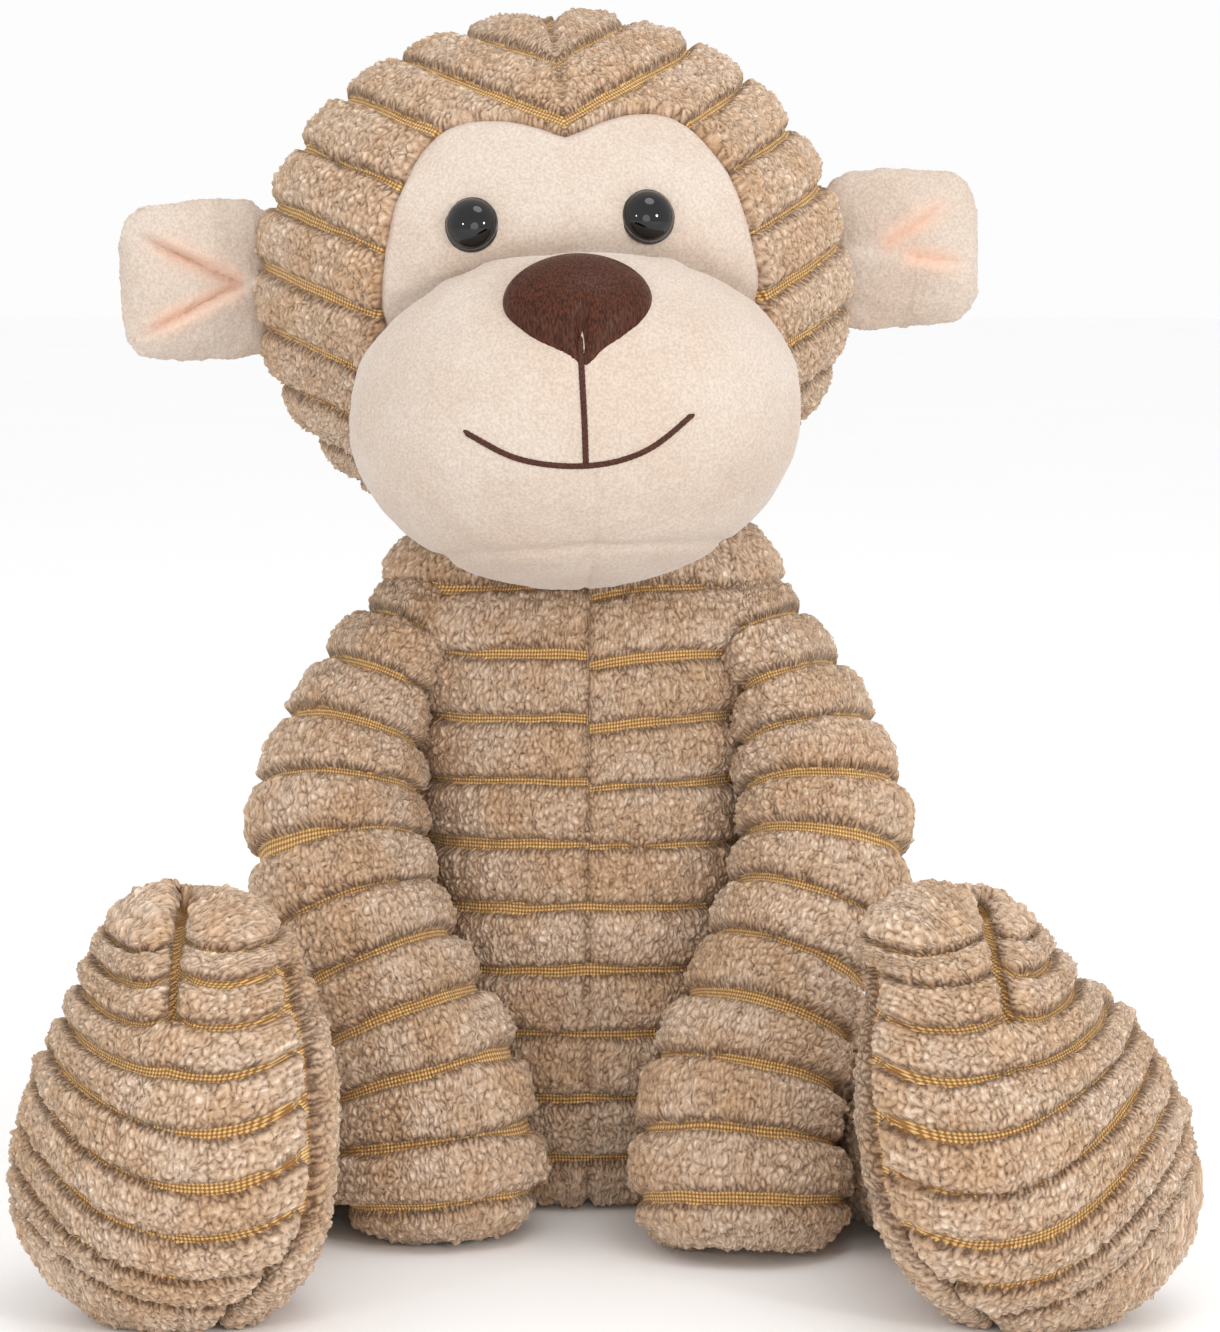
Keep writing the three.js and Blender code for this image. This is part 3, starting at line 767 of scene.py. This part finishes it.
def muzzle_piece():
    nodes = ["muzzle_left", "muzzle_right", "chin_panel"]
    obj = closed_form("muzzle_cover", nodes + ["muzzle_stuffing"], voxel=4.6)
    refined(obj)
    p = co_of(obj.data)
    n = normals_of(obj.data)
    q = to_head(p)
    chin = np.abs(q[:, 2] + 62 + 0.12 * (q[:, 1] + 49))
    middle = np.where(q[:, 2] < -40, np.abs(q[:, 0] + 0.5), 99)
    up = 0.8 - 0.9 * np.exp(-(chin / 1.1) ** 2) - 0.5 * np.exp(-(middle / 0.9) ** 2)
    set_co(obj.data, p + n * up[:, None])
    nap(obj, 110)
    add_value(obj.data, "blush", np.zeros(len(q)))
    finish_piece(obj, "head", nodes + ["muzzle_stuffing"], CREAM)
    return obj


def nose_piece():
    """A padded, rounded triangle with a crease down its lower half."""
    low, high = box_mm("nose")
    q = to_head((low + high)[None] / 2)[0]
    centre = np.array([q[0] - 0.6, q[1] + 1.0, q[2] - 2.6])
    bm = bmesh.new()
    bmesh.ops.create_uvsphere(bm, u_segments=96, v_segments=64, radius=1.0)
    mesh = bpy.data.meshes.new("nose_cover")
    bm.to_mesh(mesh)
    bm.free()
    obj = linked("nose_cover", mesh)
    s = co_of(mesh) * MM
    x, y, z = s[:, 0], s[:, 1], s[:, 2]
    width = 16.6 * (1 + 0.22 * z - 0.16 * z ** 2)
    shape = np.stack([x * width, y * 9.5, z * 12.9 - 1.6 * np.clip(-z, 0, 1) ** 2 * (1 - np.abs(x))], axis=1)
    lean = x - 0.12 * (z + 0.2)
    crease = 1.8 * np.exp(-(lean / 0.06) ** 2) + 1.2 * np.exp(-(lean / 0.22) ** 2)
    crease *= smooth_step(0.4, -0.25, z) * smooth_step(-0.8, -0.4, z)
    shape[:, 2] -= 2.4 * np.exp(-(x / 0.3) ** 2) * np.clip(-z, 0, 1) ** 3
    shape[:, 1] += crease * (y < 0) + 4.5 * z - 2.8 * np.exp(-(x / 0.35) ** 2) * np.clip(-z, 0, 1) ** 1.5
    set_co(mesh, from_head(centre + shape))
    finish_piece(obj, "head", ["nose"], NOSE)


def eye_pieces(face):
    for side in ("left", "right"):
        node = f"{side}_eye"
        sign = 1 if side == "left" else -1
        at = np.array([20.4 * sign - 2.6, 0, 15.5])
        look = at / SKULL ** 2
        look[1] = -math.sqrt(1 - (at[0] / SKULL[0]) ** 2 - (at[2] / SKULL[2]) ** 2) / SKULL[1]
        look /= np.linalg.norm(look)
        spot, _ = on_surface(face, at[0], at[2])
        at = to_head(np.array(spot)[None] / MM)[0] + look * 0.4
        for name, material, profile in (
            (f"{side}_eye_dome", EYE, [(0, -6), (2, -6), (2, -1.2), (5.9, -1.0)] + dome_profile(5.9, 4.6, 0.0)),
            (f"{side}_eye_rim", RIM, [(4.8, -1.6), (6.5, -1.4), (6.55, -0.4), (6.2, 0.1), (5.4, 0.2), (4.8, -1.6)]),
        ):
            obj = turned(name, profile, at, look)
            obj.data.materials.append(material)
            obj.data.polygons.foreach_set("use_smooth", [True] * len(obj.data.polygons))
            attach(obj, "head")
            if material is EYE:
                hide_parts(node)


def dome_profile(radius, height, base, steps=14):
    return [(radius * math.cos(a), base + height * math.sin(a)) for a in np.linspace(0, math.pi / 2, steps)]


def turned(name, profile, at, look, around=64):
    """A turned piece on a line through a point, both in the head's own frame."""
    forward = np.array(look)
    side = np.cross([0, 0, 1], forward)
    side /= np.linalg.norm(side)
    up = np.cross(forward, side)
    bm = bmesh.new()
    rings = []
    for r, h in profile:
        if r < 1e-6:
            rings.append([bm.verts.new(from_head(at + forward * h) * MM)])
            continue
        ring = []
        for k in range(around):
            a = 2 * math.pi * k / around
            ring.append(bm.verts.new(from_head(at + forward * h + (side * math.cos(a) + up * math.sin(a)) * r) * MM))
        rings.append(ring)
    closed = np.allclose(profile[0], profile[-1])
    if closed:
        rings[-1] = rings[0]
    for a, b in zip(rings, rings[1:]):
        for k in range(around):
            quad = [a[k % len(a)], a[(k + 1) % len(a)], b[(k + 1) % len(b)], b[k % len(b)]]
            bm.faces.new(list(dict.fromkeys(quad)))
    loose = [v for v in bm.verts if not v.link_faces]
    bmesh.ops.delete(bm, geom=loose, context="VERTS")
    bmesh.ops.recalc_face_normals(bm, faces=bm.faces)
    mesh = bpy.data.meshes.new(name)
    bm.to_mesh(mesh)
    bm.free()
    return linked(name, mesh)


def mouth_piece(muzzle):
    """Satin stitches laid on the muzzle along the smile and the upright line."""
    lines = [
        [(-29, -30), (-17, -36.5), (-2.2, -38.6), (11, -36), (23.2, -28)],
        [(-2.2, -10), (-2.4, -24), (-2.4, -39.2)],
    ]
    bm = bmesh.new()
    for line in lines:
        path = smooth_path(line, 0.55)
        for k, (a, b) in enumerate(zip(path[:-3], path[3:])):
            ends = []
            for x, z in (a, b):
                ends.append(on_surface(muzzle, x, z))
            stitch(bm, ends[0], ends[1], 0.52, 0.2 if k % 2 else -0.2)
    mesh = bpy.data.meshes.new("mouth_thread")
    bm.to_mesh(mesh)
    bm.free()
    obj = linked("mouth_thread", mesh)
    obj.data.materials.append(THREAD)
    obj.data.polygons.foreach_set("use_smooth", [True] * len(obj.data.polygons))
    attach(obj, "head")
    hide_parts("mouth_stitching")


def smooth_path(points, spacing):
    points = np.array(points, float)
    padded = np.concatenate([[2 * points[0] - points[1]], points, [2 * points[-1] - points[-2]]])
    fine = []
    for a, b, c, d in zip(padded, padded[1:], padded[2:], padded[3:]):
        for t in np.arange(40) / 40:
            fine.append(0.5 * (2 * b + (c - a) * t + (2 * a - 5 * b + 4 * c - d) * t ** 2 + (3 * b - a - 3 * c + d) * t ** 3))
    fine = np.array(fine)
    run = np.concatenate([[0], np.cumsum(np.linalg.norm(np.diff(fine, axis=0), axis=1))])
    stops = np.arange(0, run[-1], spacing)
    return np.stack([np.interp(stops, run, fine[:, k]) for k in (0, 1)], axis=1)


def stitch(bm, first, second, radius, sideways):
    """One thread laid between two places on a surface, as a slim closed spindle."""
    (a, na), (b, nb) = first, second
    along = b - a
    if along.length < 1e-6:
        return
    normal = (na + nb).normalized()
    side = along.cross(normal).normalized()
    matrix = Matrix((side, along.normalized(), normal)).transposed().to_4x4()
    middle = (a + b) / 2 + side * sideways * MM + normal * 0.1 * MM
    scale = Matrix.Diagonal((radius * MM, along.length * 0.6, radius * 0.7 * MM, 1))
    bmesh.ops.create_uvsphere(bm, u_segments=8, v_segments=8, radius=1.0,
                              matrix=Matrix.Translation(middle) @ matrix @ scale @ Matrix.Rotation(math.pi / 2, 4, "X"))


# ---- Ears

# The two pleats of each ear: where each starts and ends, out from the root and up, and how deep they are.
EAR_PLEATS = {
    "left": (1.6, [((7, 1.0), (24, 11.5)), ((12, -1.5), (28, -4.6))]),
    "right": (4.2, [((2, -0.8), (25, 11.4)), ((2, -1.2), (27, -12.6))]),
}


def ear_piece(side):
    nodes = [f"{side}_ear_front", f"{side}_ear_back"]
    sign = 1 if side == "left" else -1
    root = to_head(joint_at(f"{side}_ear_fold")[None])[0]
    obj = closed_form(f"{side}_ear_cover", nodes, voxel=2.6, rounding=3, regain=0.6)
    refined(obj, 2)
    p = co_of(obj.data)
    q = to_head(p)
    front = smooth_step(0.15, 0.75, -(normals_of(obj.data) @ HEAD_AXES[1]))
    out = (q[:, 0] - root[0]) * sign
    up = q[:, 2] - root[2]
    depth, pleats = EAR_PLEATS[side]
    middle = 12.0
    turn = np.arctan2(up, out - middle)
    reach = np.hypot(up, out - middle)
    bins = np.linspace(-math.pi, math.pi, 49)
    spots = (bins[:-1] + bins[1:]) / 2
    now = np.array([reach[(turn >= a) & (turn < b)].max() for a, b in zip(bins, bins[1:])])
    now = (np.roll(now, 1) + 2 * now + np.roll(now, -1)) / 4
    sides = np.abs(np.cos(spots)) / 19.0, np.abs(np.sin(spots)) / (19.4 - 0.8 * np.cos(spots))
    want = (sides[0] ** 4.2 + sides[1] ** 4.2) ** (-1 / 4.2)
    grow = np.interp(turn, spots, want / now, period=2 * math.pi)
    out = middle + (out - middle) * grow
    up = up * grow
    q[:, 0] = root[0] + sign * out
    q[:, 2] = root[2] + up
    over = np.zeros(len(q))
    near = np.zeros(len(q))
    for turn, (a, b) in zip((1, -1), pleats):
        along = np.subtract(b, a) / np.linalg.norm(np.subtract(b, a))
        side_of = turn * ((up - a[1]) * along[0] - (out - a[0]) * along[1])
        run = (out - a[0]) * along[0] + (up - a[1]) * along[1]
        span = np.linalg.norm(np.subtract(b, a))
        fade = smooth_step(span + 4, span - 9, run)
        lobe = np.where(side_of > 0, np.exp(-side_of / 9) * (1 - np.exp(-side_of / 1.1)), 0)
        slit = np.exp(-(side_of / 0.9) ** 2) * smooth_step(-2, 3, run)
        over += depth * fade * (lobe - 0.45 * slit)
        near = np.maximum(near, np.exp(-(side_of / 3.3) ** 2) * fade * smooth_step(-3, 2, run))
    between = np.exp(-(near - 1) ** 2)
    moved = q.copy()
    moved[:, 1] -= front * (over - 0.25 * depth)
    set_co(obj.data, from_head(moved))
    nap(obj, 130 + sign, size=1.3, depth=0.4)
    add_value(obj.data, "blush", np.clip(0.6 * near * front * between, 0, 1))
    finish_piece(obj, f"{side}_ear", nodes, CREAM)


# ---- Neck

def neck_piece():
    """The gathered cloth between the torso and the head."""
    low, high = box_mm("neck_seam")
    centre = (low + high) / 2
    bm = bmesh.new()
    bmesh.ops.create_uvsphere(bm, u_segments=160, v_segments=80, radius=1.0)
    mesh = bpy.data.meshes.new("neck_cover")
    bm.to_mesh(mesh)
    bm.free()
    obj = linked("neck_cover", mesh)
    s = co_of(mesh) * MM
    set_co(mesh, centre + [0, 2, 2] + s * [34, 29, 15])

    def along(p):
        return p[:, 0], p[:, 1], 30 * np.arctan2(p[:, 0], -p[:, 1])

    raise_wales(obj, lambda p: p[:, 2] - centre[2], along, phase=7, seed=150, height=2.0)
    finish_piece(obj, "neck", ["neck_seam"], PLUSH)


# ---- Studio

def camera():
    rise = math.radians(CAMERA_RISE)
    aim = Vector(CAMERA_AIM)
    spot = aim + CAMERA_DISTANCE * Vector((0, -math.cos(rise), math.sin(rise)))
    data = bpy.data.cameras.new("camera")
    data.lens = CAMERA_LENS
    data.clip_end = 20
    obj = bpy.data.objects.new("camera", data)
    scene.collection.objects.link(obj)
    obj.location = spot * MM
    obj.rotation_euler = (aim - spot).to_track_quat("-Z", "Y").to_euler()
    scene.camera = obj


def area_light(name, place, aim, size, power, colour=(1, 1, 1)):
    data = bpy.data.lights.new(name, "AREA")
    data.shape = "DISK"
    data.size = size
    data.energy = power
    data.color = colour
    obj = bpy.data.objects.new(name, data)
    scene.collection.objects.link(obj)
    obj.location = place
    obj.rotation_euler = (Vector(aim) - Vector(place)).to_track_quat("-Z", "Y").to_euler()


def studio():
    mesh = bpy.data.meshes.new("floor")
    reach = 6.0
    mesh.from_pydata([(-reach, -reach, 0), (reach, -reach, 0), (reach, reach, 0), (-reach, reach, 0)], [], [(0, 1, 2, 3)])
    floor = linked("floor", mesh)
    pale, paler = (0.975, 0.975, 0.975, 1), (0.985, 0.985, 0.985, 1)
    mesh.materials.append(grained_material("pale_floor", pale, paler, 0.8, 6, specular=0.2))
    world = bpy.data.worlds.new("studio")
    world.use_nodes = True
    world.node_tree.nodes["Background"].inputs["Color"].default_value = (1, 1, 1, 1)
    world.node_tree.nodes["Background"].inputs["Strength"].default_value = 0.98
    scene.world = world
    scene.view_settings.view_transform = "Standard"
    area_light("key", (0.95, -1.05, 0.5), (0, 0, 0.14), 0.2, 4.0)
    area_light("fill", (-0.85, -1.1, 0.45), (0, 0, 0.14), 0.13, 1.6)
    area_light("front", (0.1, -1.6, 0.25), (0, 0, 0.12), 0.8, 3.2)
    area_light("top", (0.3, -0.5, 1.5), (0, 0, 0.14), 0.7, 4)


camera()
studio()
for side in ("left", "right"):
    slots = frame["nodes"][f"{side}_eye_washer"].material_slots
    if slots:
        slots[0].material = RIM
torso_piece()
neck_piece()
hood_piece()
eye_pieces(face_piece())
mouth_piece(muzzle_piece())
nose_piece()
for side in ("left", "right"):
    arm_piece(side)
    leg_piece(side)
    foot_piece(side)
    ear_piece(side)
